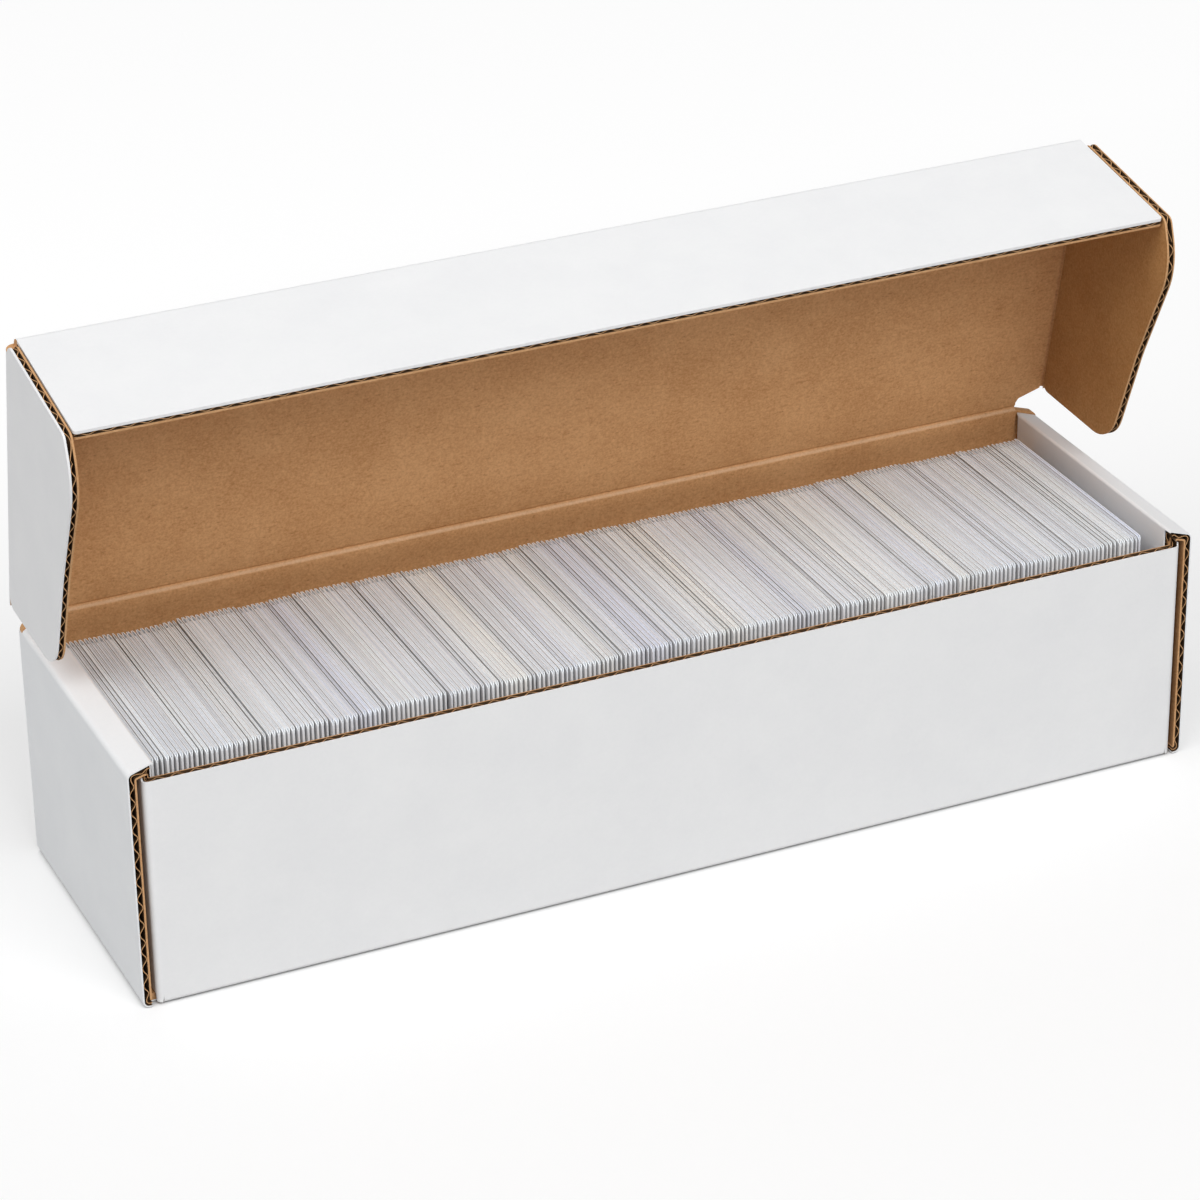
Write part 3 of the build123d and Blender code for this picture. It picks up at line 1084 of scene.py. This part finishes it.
cardLook = {
    "grain": (260.0, 3.0, 0.55),
    "depthStops": [(0.34, 1.0), (0.62, 0.0)],
    "depthShare": 0.55,
    "shadeStops": [(0.0, 1.0), (0.35, 0.0)],
    "shadeShare": 0.9,
    "grainShare": 0.15,
    "tipStops": [(0.0, 0.0), (0.6, 1.0)],
    "roughnessSwing": 0.2,
    "coatRoughness": 0.3,
}
filmSet = {
    "tones": [(0.0, (0.850, 0.890, 0.975, 1)), (0.35, (0.885, 0.925, 0.970, 1)),
              (0.70, (0.900, 0.938, 0.962, 1)), (1.0, (0.930, 0.955, 0.945, 1))],
    "tip": (0.95, 0.955, 0.96, 1),       # the sealed rear edge, whiter than the rest: partly a frosted seal, partly a painted lift against the lid's shade
    "side": 0.50,                # how far the broad sides, seen only in the gaps between cards, go to a painted shade
    "sideTone": (0.36, 0.35, 0.35, 1),
    "dark": (0.650, 0.665, 0.710, 1),
    "darkest": 0.28,
    "roughness": 0.40,
    "coat": 0.2,
}
stockSet = {
    "tones": [(0.0, (0.710, 0.755, 0.860, 1)), (0.35, (0.755, 0.797, 0.855, 1)),
              (0.70, (0.795, 0.832, 0.857, 1)), (1.0, (0.835, 0.852, 0.842, 1))],
    # the card's rear end also goes to an even grey, a painted lift against the lid's shade
    "tip": (0.80, 0.80, 0.80, 1),
    # the broad sides go less far to their painted shade
    "side": 0.30,
    "sideTone": (0.45, 0.45, 0.45, 1),
    "dark": (0.450, 0.460, 0.500, 1),
    "darkest": 0.33,
    "roughness": 0.65,
    "coat": 0.0,
}


def cardMaterial(name, settings):
    material, tree, place = startMaterial(name)
    tone, depth, shade, side = [attribute(tree, title) for title in ("tone", "depth", "shade", "side")]
    grain = noise(tree, place, cardLook["grain"])
    body = addNode(tree, "ShaderNodeValToRGB", {"stops": settings["tones"]}, {0: tone})
    deep = ramp(tree, depth, cardLook["depthStops"]) * cardLook["depthShare"]
    deep = deep + ramp(tree, shade, cardLook["shadeStops"]) * cardLook["shadeShare"]
    deep = deep * settings["darkest"] + (grain - 0.5) * cardLook["grainShare"]
    # towards the rear the holders whiten: partly a frosted seal, partly a painted lift against the shade
    # under the lid
    behind = (alongAxis(tree, place, "Y") - rowRear) / cardSet["rearSeal"][0]
    tip = ramp(tree, behind, cardLook["tipStops"])
    body = mixColour(tree, tip, mixColour(tree, deep, body, settings["dark"]), settings["tip"])
    # painted shade on the broad sides, which show only down the gaps between cards
    body = mixColour(tree, side * settings["side"], body, settings["sideTone"])
    roughness = settings["roughness"] + (grain - 0.5) * cardLook["roughnessSwing"]
    finishMaterial(tree, {"Base Color": body, "Roughness": roughness, "Coat Weight": settings["coat"],
                          "Coat Roughness": cardLook["coatRoughness"]})
    return material


cardTree = buildCardTree()
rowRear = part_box("card_pack_01")[1].y - cardSet["rearSeal"][0] - cardSet["runShift"][1]
holderFilm = cardMaterial("holderFilm", filmSet)
cardStock = cardMaterial("cardStock", stockSet)


def buildCards():
    rowLow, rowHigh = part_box("card_pack_01")[0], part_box("card_pack_10")[1]
    packs = ["card_pack_%02d" % index for index in range(1, 11)]
    pitch, wall = cardSet["pitch"], cardSet["wall"]
    count = round((rowHigh.x - rowLow.x) / pitch)
    thick = rowHigh.x - rowLow.x - (count - 1) * pitch
    middle = (rowLow + rowHigh) / 2
    start = Vector((rowLow.x + thick / 2, middle.y, middle.z))
    halfWide = (rowHigh.y - rowLow.y) / 2 - cardSet["shift"][1] - cardSet["runShift"][1]
    halfTall = (rowHigh.z - rowLow.z) / 2 - cardSet["shift"][2] - cardSet["runShift"][2]
    broad, narrow = 1, 0             # what a face's side attribute says

    def cardStations(top, front, rear):
        low, high, tall = front - halfWide, halfWide - rear, halfTall - top
        frontRadius, rearRadius, steps = cardSet["frontCorner"], cardSet["rearCorner"], cardSet["frontSteps"]
        angles = [math.pi / 2 * step / steps for step in range(steps + 1)]
        edge = [(low + frontRadius * (1 - math.cos(angle)), tall - frontRadius * (1 - math.sin(angle)))
                for angle in angles]
        edge += [(high - cardSet["rearSeal"][0], tall)] if not rear else []
        edge += [(high - rearRadius, tall), (high, tall - rearRadius)]
        return [(Vector((0, y, 0)), xAxis, -halfTall, z) for y, z in edge]

    def sealed(y, full, tip):
        share = 1.0
        for gap, seal in ((y + halfWide, cardSet["frontSeal"]), (halfWide - y, cardSet["rearSeal"])):
            if gap < seal[0]:
                share, tip = gap / seal[0], tip * seal[1]
        return full if share == 1.0 else tip + (full - tip) * share

    holder, stock = Parts(), Parts()
    stations, stockStations = cardStations(0, 0, 0), cardStations(*cardSet["stockInset"])
    inHalf = thick / 2 - wall
    outer = [sealed(point.y, thick / 2, 1.0) for point, *rest in stations]
    inner = [sealed(point.y, inHalf, 0.0) for point, *rest in stations]
    addSkin(holder, stations, zAxis, outer, inner, (broad, narrow, narrow, narrow))
    addSkin(holder, stations, zAxis, [-lift for lift in inner], [-lift for lift in outer],
            (narrow, narrow, broad, narrow))
    addSkin(stock, stockStations, zAxis, inHalf, -inHalf, (broad, narrow, broad, narrow))
    values = {"Count": count, "Start": start, "Step": Vector((pitch, 0, 0)), "Seed": cardSet["seed"]}
    for title, key in (("Shift", "shift"), ("Run Shift", "runShift"), ("Tilt", "tilt")):
        values[title] = Vector(cardSet[key])
    for title, key in (("Thinnest", "thinnest"), ("Run End", "runEnd"), ("Run Length", "runLength"),
                       ("Tone Drift", "toneDrift"), ("Depth Drift", "depthDrift")):
        values[title] = cardSet[key]
    for name, parts, material, nodes in (("cardHolders", holder, holderFilm, packs),
                                         ("cardStock", stock, cardStock, [])):
        sides, parts.slots = parts.slots, [0] * len(parts.slots)
        piece = makePiece(name, parts, [material], cardSet["sharpAngle"])
        piece.data.attributes.new("side", "FLOAT", "FACE").data.foreach_set("value", sides)
        runTree(piece, cardTree, {**values, "Material": material})
        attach(piece, "card_row")
        if nodes:
            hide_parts(*nodes)
        print("cards:", name, len(piece.data.polygons), "faces")


buildCards()


# Floor, light and camera

stageSet = {
    "floorSize": 8.0,
    "floorDrop": 0.3 * mm,
    "floorSeen": (0.60, 0.60, 0.60, 1),
    "floorBounce": (0.50, 0.50, 0.50, 1),
    "floorRoughness": 0.9,
    "glowNear": (0.365, 0.365, 0.365, 1),
    "glowFar": (0.455, 0.455, 0.455, 1),
    "glowFrom": -0.05,
    "glowOver": 0.55,
    "glowStops": [(0.0, 0.0), (1.0, 1.0)],
    # a painted contact shadow: near the box the floor's glow fades to black
    "contactReach": 7.0 * mm,
    "contactSamples": 16,
    "contactStops": [(0.20, 0.0), (0.62, 1.0)],
    "ambient": (0.355, 0.355, 0.355, 1),
    "lamps": [
        {"name": "keyLamp", "place": (0.66, -4.74, 4.86), "size": 3.9, "power": 241.0},
        {"name": "leftLamp", "place": (-3.9, -2.1, 5.1), "size": 4.2, "power": 171.0},
        {"name": "fillLamp", "place": (-5.4, 0.6, 1.8), "size": 3.6, "power": 27.0},
    ],
    "aim": (0.0, 0.0, 0.08),
}
black, brightWhite = (0, 0, 0, 1), (1, 1, 1, 1)


# The camera sees the floor glow nearly white, save for a painted contact shadow by the box; light bounces off
# a greyer one
def paleFloor():
    material, tree, place = startMaterial("paleFloor")
    seen = addNode(tree, "ShaderNodeLightPath", {}, {}, "Is Camera Ray")
    away = (alongAxis(tree, place, "Y") - stageSet["glowFrom"]) / stageSet["glowOver"]
    far = ramp(tree, away, stageSet["glowStops"])
    glow = mixColour(tree, far, stageSet["glowNear"], stageSet["glowFar"])
    # painted contact shadow: where the floor is hemmed in by the box, its glow fades to black
    openness = addNode(tree, "ShaderNodeAmbientOcclusion", {"samples": stageSet["contactSamples"]},
                       {"Distance": stageSet["contactReach"]}, 1)
    glow = mixColour(tree, ramp(tree, openness, stageSet["contactStops"]), black, glow)
    colour = mixColour(tree, seen, stageSet["floorBounce"], stageSet["floorSeen"])
    finishMaterial(tree, {"Base Color": colour, "Emission Color": mixColour(tree, seen, black, glow),
                          "Emission Strength": 1.0, "Roughness": stageSet["floorRoughness"],
                          "Specular IOR Level": 0.0})
    return material


def buildFloor():
    size = stageSet["floorSize"]
    parts = Parts()
    parts.points = [Vector((x * size, y * size, -stageSet["floorDrop"])) for x, y in
                    ((-1, -1), (1, -1), (1, 1), (-1, 1))]
    parts.face(range(4), 0)
    floor = makePiece("floor", parts, [paleFloor()])


def buildSky():
    world = bpy.data.worlds.new("studio")
    bpy.context.scene.world = world
    world.use_nodes = True
    tree = world.node_tree
    tree.nodes.clear()
    straight, glossy, through = [addNode(tree, "ShaderNodeLightPath", {}, {}, name)
                                 for name in ("Is Camera Ray", "Is Glossy Ray", "Is Transmission Ray")]
    seen = mathNode(tree, "MAXIMUM", mathNode(tree, "MAXIMUM", straight, glossy), through)
    colour = mixColour(tree, seen, stageSet["ambient"], brightWhite)
    sky = addNode(tree, "ShaderNodeBackground", {}, {"Color": colour})
    out = tree.nodes.new("ShaderNodeOutputWorld")
    tree.links.new(sky.socket, out.inputs[0])


def buildLamps():
    for lamp in stageSet["lamps"]:
        data = bpy.data.lights.new(lamp["name"], "AREA")
        data.size = lamp["size"]
        data.energy = lamp["power"]
        light = bpy.data.objects.new(lamp["name"], data)
        bpy.context.scene.collection.objects.link(light)
        light.location = lamp["place"]
        toward = Vector(stageSet["aim"]) - light.location
        light.rotation_euler = toward.to_track_quat("-Z", "Y").to_euler()


cameraSet = {
    "place": (-532.3 * mm, -1178.4 * mm, 750.4 * mm),
    "yaw": 24.077,
    "pitch": 27.479,
    "roll": -0.828,
    "lens": 129.55,
    "sensor": 36.0,
    "clip": (0.05, 50.0),
}


def buildCamera():
    data = bpy.data.cameras.new("photoCamera")
    data.lens = cameraSet["lens"]
    data.sensor_width = cameraSet["sensor"]
    data.clip_start, data.clip_end = cameraSet["clip"]
    camera = bpy.data.objects.new("photoCamera", data)
    bpy.context.scene.collection.objects.link(camera)
    camera.location = cameraSet["place"]
    turn = Matrix.Rotation(math.radians(-cameraSet["yaw"]), 3, "Z")
    turn = turn @ Matrix.Rotation(math.radians(90 - cameraSet["pitch"]), 3, "X")
    turn = turn @ Matrix.Rotation(math.radians(cameraSet["roll"]), 3, "Z")
    camera.rotation_euler = turn.to_euler()
    bpy.context.scene.camera = camera


buildFloor()
buildSky()
buildLamps()
buildCamera()
bpy.context.scene.view_settings.view_transform = "Standard"
print("stage: floor, lamps and camera")
